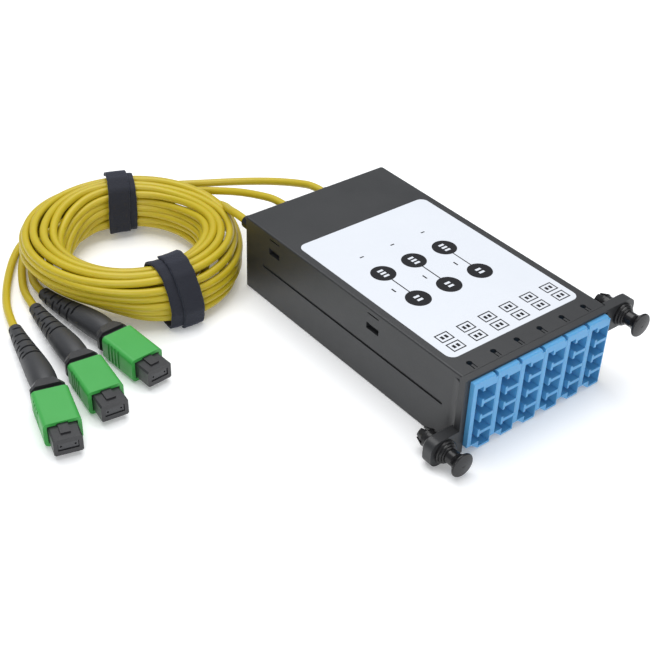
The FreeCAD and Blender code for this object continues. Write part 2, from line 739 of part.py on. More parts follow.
def connector_coupling():
    end = coupling_start + coupling_length
    outer = block_x(coupling_start, end, coupling_width, coupling_height)
    long_edges = [e for e in outer.Edges if abs(e.tangentAt(e.FirstParameter).x) > 0.9]
    outer = outer.makeFillet(coupling_corner, long_edges)
    bore = block_x(coupling_start - 1, end + 1, housing_width + 2 * coupling_gap,
                   housing_height + 2 * coupling_gap)
    key_way = box(end - 4 - coupling_gap * 5, end + 1, -key_width / 2 - coupling_gap, key_width / 2 + coupling_gap,
                  0, housing_height / 2 + key_height + coupling_gap)
    grips = []
    for side in (-1, 1):
        low, high = sorted((side * (coupling_width / 2 - grip_depth), side * (coupling_width / 2 + 1)))
        for number in range(grip_count):
            start = coupling_start + grip_start + number * grip_pitch
            grips.append(box(start, start + grip_pitch / 2, low, high,
                             -coupling_height / 2 - 1, coupling_height / 2 + 1))
    return outer.cut([bore, key_way] + grips).removeSplitter()


def boot_profile():
    """Distance behind the shoulder and radius, for each section of the boot."""
    length_slotted = slot_pairs * slot_pitch
    total = boot_plain + length_slotted
    sections = [(0.0, boot_radius), (boot_plain, boot_radius)]
    for number in range(1, slot_pairs + 1):
        share = number / slot_pairs
        sections.append((boot_plain + number * slot_pitch, boot_radius + (boot_thin_radius - boot_radius) * share))
    return sections, total


def level_direction(heading):
    return V(math.cos(math.radians(heading)), math.sin(math.radians(heading)), 0)


def boot_place(shoulder, heading, thin_end, end_heading, along, total):
    """Point and direction on the gentle curve from the shoulder to the thin end."""
    start = from_corner(shoulder, connector_level)
    end = from_corner(thin_end, boot_end_level)
    leave = start - level_direction(heading) * (total / 3)
    arrive = end + level_direction(end_heading) * (total / 3)
    t = along / total
    point = start * (1 - t) ** 3 + leave * (3 * t * (1 - t) ** 2) + arrive * (3 * t ** 2 * (1 - t)) + end * t ** 3
    tangent = ((leave - start) * (1 - t) ** 2 + (arrive - leave) * (2 * t * (1 - t)) + (end - arrive) * t ** 2)
    return point, tangent.normalize()


def boot_slot(point, tangent, radius, upright):
    """Two slots of one pair: from above and below, or from the two sides."""
    across = tangent.cross(Z_AXIS).normalize()
    away = V(Z_AXIS) if upright else across
    wide = across if upright else V(Z_AXIS)
    cutters = []
    for side in (-1, 1):
        start = point + away * (side * (cable_diameter / 2 + slot_wall))
        reach = away * (side * (radius + 1))
        corner = start - wide * (radius + 1) - tangent * (slot_width / 2)
        outline = [corner, corner + wide * (2 * radius + 2),
                   corner + wide * (2 * radius + 2) + reach, corner + reach]
        cutters.append(prism(outline, tangent * slot_width))
    return cutters


def connector_boot(shoulder, heading, thin_end, end_heading):
    """A tapering sleeve round the cable that its slots let bend."""
    sections, total = boot_profile()
    ends = (shoulder, heading, thin_end, end_heading)
    wires = []
    for along, radius in sections:
        point, tangent = boot_place(*ends, along, total)
        wires.append(Part.Wire(Part.makeCircle(radius, point, tangent)))
    boot = Part.makeLoft(wires, True, False)
    cutters = []
    for number in range(slot_pairs):
        along = boot_plain + (number + 0.35) * slot_pitch
        share = (along - boot_plain) / (total - boot_plain)
        radius = boot_radius + (boot_thin_radius - boot_radius) * share
        for offset, upright in ((0.0, True), (slot_pitch / 2, False)):
            point, tangent = boot_place(*ends, min(along + offset, total - slot_width), total)
            cutters.extend(boot_slot(point, tangent, radius, upright))
    return boot.cut(cutters)


def place_connector(shape, shoulder, heading):
    moved = shape.copy()
    moved.rotate(V(0, 0, 0), Z_AXIS, heading)
    return moved.translated(from_corner(shoulder, connector_level))


def lead_points(number):
    """Straight out of the gland, then round to the coil."""
    mouth = gland_places()[number] + Y_AXIS * gland_reach
    return [mouth, mouth + Y_AXIS * lead_start] + [from_corner(p) for p in lead_routes[number]]


def tail_points(number):
    """From the coil to the thin end of a boot."""
    thin_end, end_heading = connectors[number][3:5]
    mouth = from_corner(thin_end, boot_end_level)
    return [from_corner(p) for p in tail_routes[number]] + [mouth - level_direction(end_heading) * tail_end, mouth]


# ---- build every part and write it ----
parts = {"base_tray": base_tray(), "top_cover": top_cover(), "label": label_sheet()}
for number in range(adapter_count):
    parts["adapter_%d" % (number + 1)] = port_adapter(number)
    parts["inner_plugs_%d" % (number + 1)] = inner_plugs(number)
parts["alignment_sleeves"] = alignment_sleeves()
for number, spot in enumerate(gland_places()):
    parts["cable_gland_%d" % (number + 1)] = gland(spot)
    parts["fanout_%d" % (number + 1)] = fanout(number)
for word, sign in (("left", -1), ("right", 1)):
    parts["grommet_" + word] = grommet(sign)
    parts["plunger_" + word] = plunger(sign)
parts["cable_coil"] = cable_coil()
for strap_name in strap_angles:
    parts[strap_name] = strap(strap_name)
for number in range(gland_count):
    parts["cable_lead_%d" % (number + 1)] = cable_tube(lead_points(number), "lead %d" % (number + 1))
    parts["cable_tail_%d" % (number + 1)] = cable_tube(tail_points(number), "tail %d" % (number + 1))
for number, shoulder_spot, heading_angle, thin_spot, end_angle in connectors:
    stem = "connector_%d_" % number
    for piece, maker in (("shoulder", connector_shoulder), ("housing", connector_housing),
                         ("ferrule", connector_ferrule), ("coupling", connector_coupling)):
        parts[stem + piece] = place_connector(maker(), shoulder_spot, heading_angle)
    parts[stem + "boot"] = connector_boot(shoulder_spot, heading_angle, thin_spot, end_angle)

os.makedirs("parts", exist_ok=True)
to_origin = V(0, -body_depth / 2, 0)
for node, shape in parts.items():
    shape.translated(to_origin).exportStep("parts/%s.step" % node)
print(len(parts), "parts written")
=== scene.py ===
import bpy
import bmesh
import math
from mathutils import Matrix, Vector


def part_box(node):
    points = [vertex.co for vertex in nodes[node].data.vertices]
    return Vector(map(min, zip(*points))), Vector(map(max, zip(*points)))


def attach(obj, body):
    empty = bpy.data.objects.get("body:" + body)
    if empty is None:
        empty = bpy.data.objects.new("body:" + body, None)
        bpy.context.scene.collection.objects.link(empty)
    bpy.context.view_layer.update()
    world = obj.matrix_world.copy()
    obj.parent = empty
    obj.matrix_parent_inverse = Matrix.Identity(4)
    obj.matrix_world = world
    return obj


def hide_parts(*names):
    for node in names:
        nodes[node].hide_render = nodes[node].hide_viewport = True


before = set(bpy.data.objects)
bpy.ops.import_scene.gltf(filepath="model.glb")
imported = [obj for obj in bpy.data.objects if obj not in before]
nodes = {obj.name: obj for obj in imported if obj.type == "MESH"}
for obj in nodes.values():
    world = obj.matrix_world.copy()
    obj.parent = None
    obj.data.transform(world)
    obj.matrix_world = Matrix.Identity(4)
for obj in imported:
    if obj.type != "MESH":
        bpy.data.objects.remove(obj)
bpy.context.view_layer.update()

# ---- Studio ----
# A pale table top under one soft overhead light, with weaker fills from the left and from the
# front right, and a camera that looks down on the left corner of the ports.
MM = 0.001


def principled(name, colour, roughness):
    """A material with its Principled shader, its node tree and an object coordinate."""
    material = bpy.data.materials.new(name)
    material.use_nodes = True
    tree = material.node_tree
    shader = tree.nodes["Principled BSDF"]
    shader.inputs["Base Color"].default_value = (*colour, 1)
    shader.inputs["Roughness"].default_value = roughness
    place = tree.nodes.new("ShaderNodeTexCoord").outputs["Object"]
    return material, tree, shader, place


table_material, tree, shader, place = principled("pale_table", (0.93, 0.935, 0.94), 0.6)
shader.inputs["Emission Color"].default_value = (1, 1, 1, 1)
shader.inputs["Emission Strength"].default_value = 0.14
mottle = tree.nodes.new("ShaderNodeTexNoise")
mottle.inputs["Scale"].default_value = 6
tone = tree.nodes.new("ShaderNodeValToRGB")
tone.color_ramp.elements[0].color = (0.92, 0.925, 0.93, 1)
tone.color_ramp.elements[1].color = (0.95, 0.955, 0.96, 1)
tree.links.new(place, mottle.inputs["Vector"])
tree.links.new(mottle.outputs["Fac"], tone.inputs["Fac"])
tree.links.new(tone.outputs["Color"], shader.inputs["Base Color"])
table_mesh = bpy.data.meshes.new("table_top")
table_reach, table_level = 4.0, -0.0003
table_mesh.from_pydata([(-table_reach, -table_reach, table_level), (table_reach, -table_reach, table_level),
                        (table_reach, table_reach, table_level), (-table_reach, table_reach, table_level)],
                       [], [(0, 1, 2, 3)])
table_mesh.materials.append(table_material)
table_top = bpy.data.objects.new("table_top", table_mesh)
bpy.context.collection.objects.link(table_top)

world = bpy.data.worlds.new("studio")
bpy.context.scene.world = world
world.use_nodes = True
world.node_tree.nodes["Background"].inputs["Color"].default_value = (0.93, 0.96, 1.0, 1)
world.node_tree.nodes["Background"].inputs["Strength"].default_value = 0.38

light_aim = Vector((-0.03, 0.02, 0.0))
for light_name, spot, size, watts in (("overhead", (0.05, 0.25, 0.9), 0.9, 8.6),
                                      ("left_fill", (-0.8, -0.6, 0.45), 0.5, 3.2),
                                      ("front_fill", (0.35, -0.95, 0.45), 0.6, 2.4)):
    light = bpy.data.lights.new(light_name, "AREA")
    light.size = size
    light.energy = watts
    lamp = bpy.data.objects.new(light_name, light)
    lamp.location = spot
    lamp.rotation_euler = (light_aim - lamp.location).to_track_quat("-Z", "Y").to_euler()
    bpy.context.collection.objects.link(lamp)

# The spot that the camera looks at, in millimetres, and its distance from there, in metres.
camera_aim, camera_distance = Vector((-40.09, 1.25, 18.14)), 0.40785
azimuth, elevation, roll = (math.radians(angle) for angle in (-39.26, 36.32, 2.17))
back = Vector((math.sin(azimuth) * math.cos(elevation), -math.cos(azimuth) * math.cos(elevation),
               math.sin(elevation)))
level = Vector((0, 0, 1)).cross(back).normalized()
upright = back.cross(level)
right = level * math.cos(roll) + upright * math.sin(roll)
top = upright * math.cos(roll) - level * math.sin(roll)
lens = bpy.data.cameras.new("camera")
lens.lens = 67.2
lens.sensor_width = 36
lens.clip_start = 0.01
camera = bpy.data.objects.new("camera", lens)
camera.matrix_world = Matrix.Translation(camera_aim * MM + back * camera_distance) \
    @ Matrix((right, top, back)).transposed().to_4x4()
bpy.context.collection.objects.link(camera)
bpy.context.scene.camera = camera
bpy.context.scene.view_settings.view_transform = "Standard"

# ---- Tray and cover ----
# Two mouldings in black polycarbonate blend, spark-eroded to a fine satin grain. The cover
# snaps into four windows in the tray's side walls; the tray carries bezel and ears.


def new_group(name, inputs, outputs):
    """A shader node group with its sockets made."""
    group = bpy.data.node_groups.new(name, "ShaderNodeTree")
    for socket, kind, value in inputs:
        made = group.interface.new_socket(socket, in_out="INPUT", socket_type=kind)
        if value is not None:
            made.default_value = value
    for socket, kind in outputs:
        group.interface.new_socket(socket, in_out="OUTPUT", socket_type=kind)
    return group, group.nodes.new("NodeGroupInput"), group.nodes.new("NodeGroupOutput")


def maths(group, operation, first, second):
    """A Math node; each side is a socket or a number."""
    node = group.nodes.new("ShaderNodeMath")
    node.operation = operation
    for slot, value in enumerate((first, second)):
        if isinstance(value, (int, float)):
            node.inputs[slot].default_value = value
        else:
            group.links.new(value, node.inputs[slot])
    return node.outputs[0]


def noise(group, place, scale, detail):
    """A noise of one scale, which is a socket or a number."""
    node = group.nodes.new("ShaderNodeTexNoise")
    node.inputs["Detail"].default_value = detail
    group.links.new(place, node.inputs["Vector"])
    if isinstance(scale, (int, float)):
        node.inputs["Scale"].default_value = scale
    else:
        group.links.new(scale, node.inputs["Scale"])
    return node.outputs["Fac"]


# Grain of a moulded surface: pits for the bump, and slow changes of gloss and tone.
moulded, given, result = new_group(
    "moulded_surface",
    [("Place", "NodeSocketVector", None), ("Grain Scale", "NodeSocketFloat", 2600.0),
     ("Base", "NodeSocketColor", (0.5, 0.5, 0.5, 1)), ("Worn", "NodeSocketColor", (0.6, 0.6, 0.6, 1)),
     ("Gloss", "NodeSocketFloat", 0.4), ("Gloss Change", "NodeSocketFloat", 0.1)],
    [("Color", "NodeSocketColor"), ("Roughness", "NodeSocketFloat"), ("Height", "NodeSocketFloat")])
cloud_scale, smear_scale, cloud_share = 55, 260, 0.65
pits = noise(moulded, given.outputs["Place"], given.outputs["Grain Scale"], 3)
clouds = noise(moulded, given.outputs["Place"], cloud_scale, 4)
smears = noise(moulded, given.outputs["Place"], smear_scale, 2)
mixed = maths(moulded, "MULTIPLY_ADD", clouds, cloud_share)
moulded.links.new(maths(moulded, "MULTIPLY", smears, 1 - cloud_share), mixed.node.inputs[2])
shade = moulded.nodes.new("ShaderNodeMix")
shade.data_type = "RGBA"
moulded.links.new(mixed, shade.inputs[0])
moulded.links.new(given.outputs["Base"], shade.inputs[6])
moulded.links.new(given.outputs["Worn"], shade.inputs[7])
moulded.links.new(shade.outputs[2], result.inputs["Color"])
swing = maths(moulded, "MULTIPLY", maths(moulded, "SUBTRACT", mixed, 0.5), given.outputs["Gloss Change"])
moulded.links.new(maths(moulded, "ADD", given.outputs["Gloss"], swing), result.inputs["Roughness"])
moulded.links.new(pits, result.inputs["Height"])


def grained(made, base, worn, gloss, gloss_change, grain_scale, grain_depth):
    """Gives a material made by principled the moulded surface's tone, gloss and fine bump."""
    material, tree, shader, place = made
    surface = tree.nodes.new("ShaderNodeGroup")
    surface.node_tree = moulded
    surface.inputs["Grain Scale"].default_value = grain_scale
    surface.inputs["Base"].default_value = (*base, 1)
    surface.inputs["Worn"].default_value = (*worn, 1)
    surface.inputs["Gloss"].default_value = gloss
    surface.inputs["Gloss Change"].default_value = gloss_change
    bump = tree.nodes.new("ShaderNodeBump")
    bump.inputs["Distance"].default_value = grain_depth * MM
    tree.links.new(place, surface.inputs["Place"])
    tree.links.new(surface.outputs["Color"], shader.inputs["Base Color"])
    tree.links.new(surface.outputs["Roughness"], shader.inputs["Roughness"])
    tree.links.new(surface.outputs["Height"], bump.inputs["Height"])
    tree.links.new(bump.outputs["Normal"], shader.inputs["Normal"])
    return material, shader


def moulded_plastic(name, base, worn, roughness, grain_scale=2600.0, grain_depth=0.012, gloss_change=0.25):
    """Moulded plastic with grain, faint clouding and uneven gloss."""
    made = principled(name, base, roughness)
    return grained(made, base, worn, roughness, gloss_change, grain_scale, grain_depth)[0]


sharp_edge = math.radians(35)


def dress(node, material, edge=0.0):
    """Gives a CAD piece its material and, where asked, softly broken edges."""
    piece = nodes[node]
    piece.data.materials.clear()
    piece.data.materials.append(material)
    if edge:
        broken = piece.modifiers.new("broken_edges", "BEVEL")
        broken.width = edge * MM
        broken.segments = 2
        broken.limit_method = "ANGLE"
        broken.angle_limit = sharp_edge
        broken.harden_normals = True


housing_plastic = moulded_plastic("housing_plastic", (0.017, 0.018, 0.020), (0.024, 0.025, 0.027), 0.42,
                                  grain_scale=2200, grain_depth=0.02)
dress("base_tray", housing_plastic, 0.18)
dress("top_cover", housing_plastic, 0.15)

# ---- Label ----
# A white film label stuck in a shallow recess of the cover. Its print is a plain diagram:
# three pairs of joined discs and a row of outlined boxes above the ports.
label_film = grained(principled("label_film", (0.74, 0.78, 0.86), 0.38),
                     (0.67, 0.70, 0.755), (0.70, 0.73, 0.78), 0.36,
                     gloss_change=0.2, grain_scale=900, grain_depth=0.006)[0]
dress("label", label_film)

printing_ink = moulded_plastic("printing_ink", (0.008, 0.008, 0.010), (0.012, 0.012, 0.015), 0.6,
                               grain_scale=1500, grain_depth=0.002)
printing_ink.node_tree.nodes["Principled BSDF"].inputs["Specular IOR Level"].default_value = 0.2
label_low, label_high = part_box("label")
label_middle = (label_low + label_high) / 2
ink_level = label_high.z + 0.015 * MM
white_lift = 0.01
# Places from the label's middle, across it and along it, in millimetres.
disc_columns = (-15.6, -1.7, 12.6)
disc_rows = (-8.75, 9.25)
disc_radius, disc_sides = 4.5, 64
# White blocks in a disc of the far row and of the near one: steps along the label, width, height.
disc_blocks = (((-1.7, 0.0, 1.7), 2.3, 0.95), ((-0.95, 0.95), 2.3, 1.0))
# Small black blocks above each pair of discs and beside its joining line: place, width, height.
column_mark = (0.4, 12.0, 1.7, 0.55)
joint_mark = (-3.8, 8.1, 0.6, 2.2)
box_count, box_pitch, box_shift = 6, 9.52, 0.6
box_rows = (-29.75, -35.25)
box_size = (5.4, 4.3)
box_dots, dot_half = (-0.85, 0.85), (0.55, 0.8)
line_width = 0.46


def ink_patch(mesh, outline, white=False):
    """One flat printed shape, in black or, just above it, in white."""
    level = ink_level + white_lift * MM if white else ink_level
    mesh.faces.new([mesh.verts.new((x, y, level)) for x, y in outline]).material_index = int(white)


def ink_bar(mesh, x0, y0, x1, y1, white=False):
    """A printed rectangle between two corners."""
    ink_patch(mesh, ((x0, y0), (x1, y0), (x1, y1), (x0, y1)), white)


def ink_block(mesh, x, y, wide, tall, white=False):
    """A small filled block, its middle given from the label's middle."""
    x, y = label_middle.x + x * MM, label_middle.y + y * MM
    ink_bar(mesh, x - wide / 2 * MM, y - tall / 2 * MM, x + wide / 2 * MM, y + tall / 2 * MM, white)


print_mesh = bmesh.new()
for column in disc_columns:
    for row in disc_rows:
        centre = Vector((label_middle.x + column * MM, label_middle.y + row * MM))
        ink_patch(print_mesh, [(centre.x + disc_radius * MM * math.cos(turn),
                                centre.y + disc_radius * MM * math.sin(turn))
                               for turn in (math.tau * side / disc_sides for side in range(disc_sides))])
    for row, (steps, wide, tall) in zip(reversed(disc_rows), disc_blocks):
        for step in steps:
            ink_block(print_mesh, column, row + step, wide, tall, white=True)
    across, along, wide, tall = column_mark
    ink_block(print_mesh, column + across, disc_rows[1] + along, wide, tall)
    across, along, wide, tall = joint_mark
    ink_block(print_mesh, column + across, disc_rows[0] + along, wide, tall)
    joint_x = label_middle.x + column * MM
    ink_bar(print_mesh, joint_x - line_width / 2 * MM, label_middle.y + (disc_rows[0] + disc_radius) * MM,
            joint_x + line_width / 2 * MM, label_middle.y + (disc_rows[1] - disc_radius) * MM)
for index in range(box_count):
    for row in box_rows:
        x = label_middle.x + (box_shift + (index - (box_count - 1) / 2) * box_pitch) * MM
        y = label_middle.y + row * MM
        wide, tall, line = box_size[0] / 2 * MM, box_size[1] / 2 * MM, line_width * MM
        ink_bar(print_mesh, x - wide, y - tall, x + wide, y - tall + line)
        ink_bar(print_mesh, x - wide, y + tall - line, x + wide, y + tall)
        ink_bar(print_mesh, x - wide, y - tall + line, x - wide + line, y + tall - line)
        ink_bar(print_mesh, x + wide - line, y - tall + line, x + wide, y + tall - line)
        for dot in box_dots:
            ink_bar(print_mesh, x + (dot - dot_half[0]) * MM, y - dot_half[1] * MM,
                    x + (dot + dot_half[0]) * MM, y + dot_half[1] * MM)
print_data = bpy.data.meshes.new("label_print")
print_mesh.to_mesh(print_data)
print_mesh.free()
print_data.materials.append(printing_ink)
print_data.materials.append(label_film)
label_print = bpy.data.objects.new("label_print", print_data)
bpy.context.collection.objects.link(label_print)
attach(label_print, "cassette")

# ---- Adapters, sleeves and inner plugs ----
# Six blue four-port adapters clipped into the bezel, with a white zirconia sleeve on every
# post, and the blue plugs of the inner fibres pushed into their backs.
adapter_plastic = moulded_plastic("adapter_plastic", (0.080, 0.305, 0.58), (0.10, 0.35, 0.64), 0.34,
                                  grain_scale=3200, grain_depth=0.006)
adapter_shader = adapter_plastic.node_tree.nodes["Principled BSDF"]
adapter_shader.inputs["Subsurface Weight"].default_value = 0.12
adapter_shader.inputs["Subsurface Scale"].default_value = 0.0008
plug_plastic = moulded_plastic("inner_plug_plastic", (0.07, 0.29, 0.70), (0.09, 0.33, 0.76), 0.4)
zirconia = moulded_plastic("zirconia", (0.80, 0.80, 0.77), (0.86, 0.86, 0.84), 0.22,
                           grain_scale=5200, grain_depth=0.001, gloss_change=0.08)
for index in range(1, 7):
    dress("adapter_%d" % index, adapter_plastic, 0.14)
    dress("inner_plugs_%d" % index, plug_plastic)
dress("alignment_sleeves", zirconia)

# ---- Glands, fan-outs and push-pull fasteners ----
# Small black nylon mouldings: cable glands in the rear wall, fan-out blocks on the floor,
# and in each ear a split grommet with its plunger.
fitting_nylon = moulded_plastic("fitting_nylon", (0.008, 0.008, 0.009), (0.013, 0.013, 0.014), 0.26,
                                grain_scale=3000, grain_depth=0.008)
fitting_nylon.node_tree.nodes["Principled BSDF"].inputs["Specular IOR Level"].default_value = 0.36
for index in (1, 2, 3):
    dress("cable_gland_%d" % index, fitting_nylon)
    dress("fanout_%d" % index, fitting_nylon, 0.2)
for side in ("left", "right"):
    dress("grommet_" + side, fitting_nylon)
    dress("plunger_" + side, fitting_nylon)

# ---- Trunk cables ----
# Three round yellow cables, 3 mm over the jacket. Each runs from its gland to the coil,
# five turns round it and out to its plug. The turns are worked out, the rest given point by point.
jacket, jacket_shader = grained(principled("cable_jacket", (0.70, 0.50, 0.010), 0.4),
                                (0.47, 0.36, 0.010), (0.55, 0.43, 0.015), 0.40,
                                gloss_change=0.2, grain_scale=1800, grain_depth=0.01)
jacket_shader.inputs["Subsurface Weight"].default_value = 0.08
jacket_shader.inputs["Subsurface Scale"].default_value = 0.0006

cover_low, cover_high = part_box("top_cover")
corner = Vector((cover_low.x, cover_high.y, 0))
cable_diameter = 3.0
gland_flange_radius = 3.4
coil_centre = Vector((-29.1, 32.6, 0))
join_angle = 26.0
points_per_turn = 16
# Closed outline of the strands' centres in the bundle: distance from the coil's centre, height.
bundle_outline = ((36.3, 8.6), (38.0, 11.4), (38.6, 14.6), (37.5, 17.7), (34.6, 19.2),
                  (31.2, 19.2), (28.2, 17.8), (27.0, 14.7), (26.6, 11.4), (26.6, 8.1),
                  (26.9, 4.8), (29.3, 3.2), (32.6, 4.2))
# Where the bundle departs from an even ring: direction and spread of its bulges, the span of
# the front, and which strands count as outer, as low and as off the floor. Then the sizes.
left_outer, boot_outer, left_inner, right_inner = (141, 32), (201, 26), (141, 42), (345, 45)
front_begins, front_ends = (228, 262), (300, 352)
outer_edge, under_side, off_floor = (27, 33), (2, 18), 4
left_swell, front_sag, front_drop, boot_pull = 1.9, 9.0, 1.2, 3.2
inner_left_swell, inner_right_swell = 3.6, 1.8
# Degrees wound at which each cable takes up the coil and leaves it, and where it lies as it leaves.
coil_spans = ((22, 1824), (20, 1842), (40, 1866))
leaving_spots = ((31.8, 3.1), (34.4, 4.9), (35.0, 7.4))
moving_over = (150, 10)
# Strands lie along the outline, one place on for every 120 degrees wound. Three more places open
# before the cables come in, and three close again once they have left.
degrees_per_place, first_place, last_place = 120, -0.5, 17.5
places_open, places_close = (290, 360), (60, 110)
# How each strand wanders off its place: size, rate along the cable, shift from cable to cable.
sideways_wander, upright_wander = (0.45, 0.041, 2.1), (0.4, 0.033, 1.3)
# The third cable's last turn hangs loose: degrees wound, spread, reach outward and height there.
loose_cable, loose_turn, loose_width, loose_reach, loose_height = 2, 1779, 22, 8.0, 3.0
lead_routes = (
    ((4.9, 17.2, 22.1), (7.7, 23.6, 19.4), (10.1, 30.1, 16.2), (10.2, 37.0, 14.0), (8.1, 43.6, 12.5),
     (4.5, 48.8, 11.5), (1.0, 51.9, 11.0)),
    ((20.3, 19.5, 22.2), (17.9, 29.1, 19.9), (13.9, 37.5, 17.7), (8.9, 44.7, 16.2), (2.9, 50.1, 14.8)),
    ((38.3, 19.3, 21.8), (34.3, 27.5, 20.0), (28.7, 35.1, 18.4), (21.3, 42.1, 17.2),
     (12.9, 48.3, 16.4), (4.1, 54.1, 16.0), (-5.1, 59.1, 16.0)),
)
tail_routes = (
    ((-17.9, 67.6, 3.8), (-24.3, 73.8, 2.4), (-32.1, 77.5, 1.7), (-40.9, 78.1, 1.5),
     (-49.3, 75.8, 1.5), (-56.8, 71.1, 1.5), (-63.3, 64.3, 1.5), (-68.5, 57.1, 1.5),
     (-73.1, 49.9, 1.5), (-77.1, 42.7, 1.5), (-80.5, 35.1, 1.7)),
    ((-26.0, 66.9, 5.0), (-33.7, 70.8, 3.4), (-42.5, 72.9, 2.2), (-50.6, 71.4, 1.6),
     (-57.3, 66.6, 1.5), (-62.4, 59.1, 1.5), (-66.7, 51.0, 1.5), (-70.4, 42.1, 1.6)),
    ((-38.7, 66.2, 6.8), (-46.1, 65.1, 4.6), (-53.5, 62.3, 2.7), (-59.3, 56.5, 1.7), (-63.7, 49.1, 1.6)),
)
# Thin end of each boot and the way it points there.
boot_ends = (((-84.5, 20.1, 2.6), -102.0), ((-72.9, 27.5, 2.6), -96.0), ((-66.0, 34.1, 2.6), -87.0))
# A cable runs straight for this far out of its gland, ahead of its boot and inside the boot.
gland_run, boot_run, boot_entry = 6.0, 6.0, 1.0


def heading(degrees):
    """A level direction, in degrees from the ports' right."""
    return Vector((math.cos(math.radians(degrees)), math.sin(math.radians(degrees)), 0))


def eased(value, start, end):
    """How far a value has come from start to end, from 0 to 1, with soft ends."""
    share = min(1.0, max(0.0, (value - start) / (end - start)))
    return share * share * (3 - 2 * share)


def on_outline(share):
    """Place on the bundle's closed outline, by its length from the seam."""
    loop = [Vector(point) for point in bundle_outline] + [Vector(bundle_outline[0])]
    steps = [(b - a).length for a, b in zip(loop, loop[1:])]
    left = min(max(share, 0.0), 0.9999) * sum(steps)
    for start, end, step in zip(loop, loop[1:], steps):
        if left <= step:
            return start.lerp(end, left / step)
        left -= step
    return loop[-1]


def uneven(spot, around):
    """The bundle sags outward in front and on the left, and is narrower beside the third boot."""
    def near(middle, width):
        """1 in one direction from the coil's centre, and less on both sides of it."""
        return math.exp(-(((around - middle + 180) % 360 - 180) / width) ** 2)

    outer = eased(spot.x, *outer_edge)
    low = 1 - eased(spot.y, *under_side)
    front = eased(around % 360, *front_begins) * (1 - eased(around % 360, *front_ends))
    inward = (1 - outer) * low
    widened = (left_swell * near(*left_outer) * outer + front_sag * front * outer * low
               - boot_pull * near(*boot_outer) * outer * low
               - (inner_left_swell * near(*left_inner) + inner_right_swell * near(*right_inner)) * inward)
    return Vector((spot.x + widened, spot.y - front_drop * front * outer * low * (spot.y > off_floor)))


def wander(way, wound, cable):
    """How far a strand is off its place after winding so many degrees."""
    size, rate, shift = way
    return size * math.sin(wound * rate + shift * cable)


def coil_point(cable, wound):
    """Where a cable lies in the coil after winding so many degrees round it."""
    around = wound % 360
    drift = around / degrees_per_place
    first = drift + first_place - 3 * eased(around, *places_open)
    last = drift + last_place - 3 * eased(around, *places_close)
    share = (cable + wound / degrees_per_place - first) / (last - first)
    place = uneven(on_outline(share), join_angle + wound)
    leaving = coil_spans[cable][1]
    moved = eased(wound, leaving - moving_over[0], leaving - moving_over[1])
    place = place.lerp(Vector(leaving_spots[cable]), moved)
    radius = place.x + wander(sideways_wander, wound, cable)
    height = place.y + wander(upright_wander, wound, cable)
    if cable == loose_cable:
        slack = math.exp(-((wound - loose_turn) / loose_width) ** 2)
        radius += loose_reach * slack
        height += (loose_height - height) * slack
    # The curve runs inside its control points by this share of the radius.
    chord = 1 - math.radians(360 / points_per_turn) ** 2 / 8
    return coil_centre + heading(join_angle + wound) * (radius / chord) + Vector((0, 0, height))


trunk_cables = []
for cable in range(3):
    gland_low, gland_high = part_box("cable_gland_%d" % (cable + 1))
    mouth = Vector(((gland_low.x + gland_high.x) / 2, gland_high.y, (gland_low.z + gland_high.z) / 2))
    if cable == 0:  # its gland's inner flange is cut off beside the side wall
        mouth.x = gland_high.x - gland_flange_radius * MM
    start, end = coil_spans[cable]
    count = round((end - start) / 360 * points_per_turn)
    thin_end, end_heading = boot_ends[cable]
    laid = [Vector(point) for point in lead_routes[cable]]
    laid += [coil_point(cable, start + (end - start) * step / count) for step in range(count + 1)]
    laid += [Vector(point) for point in tail_routes[cable]]
    laid += [Vector(thin_end) - heading(end_heading) * boot_run,
             Vector(thin_end) + heading(end_heading) * boot_entry]
    points = [mouth, mouth + Vector((0, gland_run, 0)) * MM] + [corner + point * MM for point in laid]
    line = bpy.data.curves.new("trunk_cable_%d" % (cable + 1), "CURVE")
    line.dimensions = "3D"
    spline = line.splines.new("NURBS")
    spline.points.add(len(points) - 1)
    for knot, point in zip(spline.points, points):
        knot.co = (*point, 1)
    spline.order_u = 3
    spline.use_endpoint_u = True
    spline.resolution_u = 10
    line.bevel_depth = cable_diameter / 2 * MM
    line.bevel_resolution = 6
    line.use_fill_caps = True
    line.materials.append(jacket)
    trunk_cable = bpy.data.objects.new("trunk_cable_%d" % (cable + 1), line)
    bpy.context.collection.objects.link(trunk_cable)
    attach(trunk_cable, "cassette")
    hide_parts("cable_lead_%d" % (cable + 1), "cable_tail_%d" % (cable + 1), "cable_coil")
    trunk_cables.append((trunk_cable, mouth))

# ---- Straps ----
# Two hook-and-loop straps round the coil, navy black, with felted pile on both faces and cut
# edges. Each goes once round the bundle; its free end is pressed down askew on top of it.
strap_pile, pile_shader = grained(principled("strap_pile", (0.008, 0.009, 0.016), 0.85),
                                  (0.006, 0.007, 0.013), (0.015, 0.017, 0.028), 0.85,
                                  gloss_change=0.2, grain_scale=2900, grain_depth=0.16)
pile_shader.inputs["Sheen Weight"].default_value = 0.22
pile_shader.inputs["Sheen Roughness"].default_value = 0.45
pile_shader.inputs["Sheen Tint"].default_value = (0.42, 0.48, 0.70, 1)

strap_layer = 1.0
layer_width = 8.3
layer_gap = 0.12
strap_ease = 0.35
strap_floor = 0.04
# The band's rounded edges: how far the underside and the upper side are drawn in, the height of
# the widest place, and that of the shoulder; then the share of the width that lies flat on top.
edge_under, edge_over, edge_height, shoulder = 0.25, 0.12, 0.35, strap_layer * 0.8
flat_share, flat_steps = 0.94, 10
band_sway, pile_lift, edge_stretch = 0.35, 0.05, 0.35
least_radius = 20
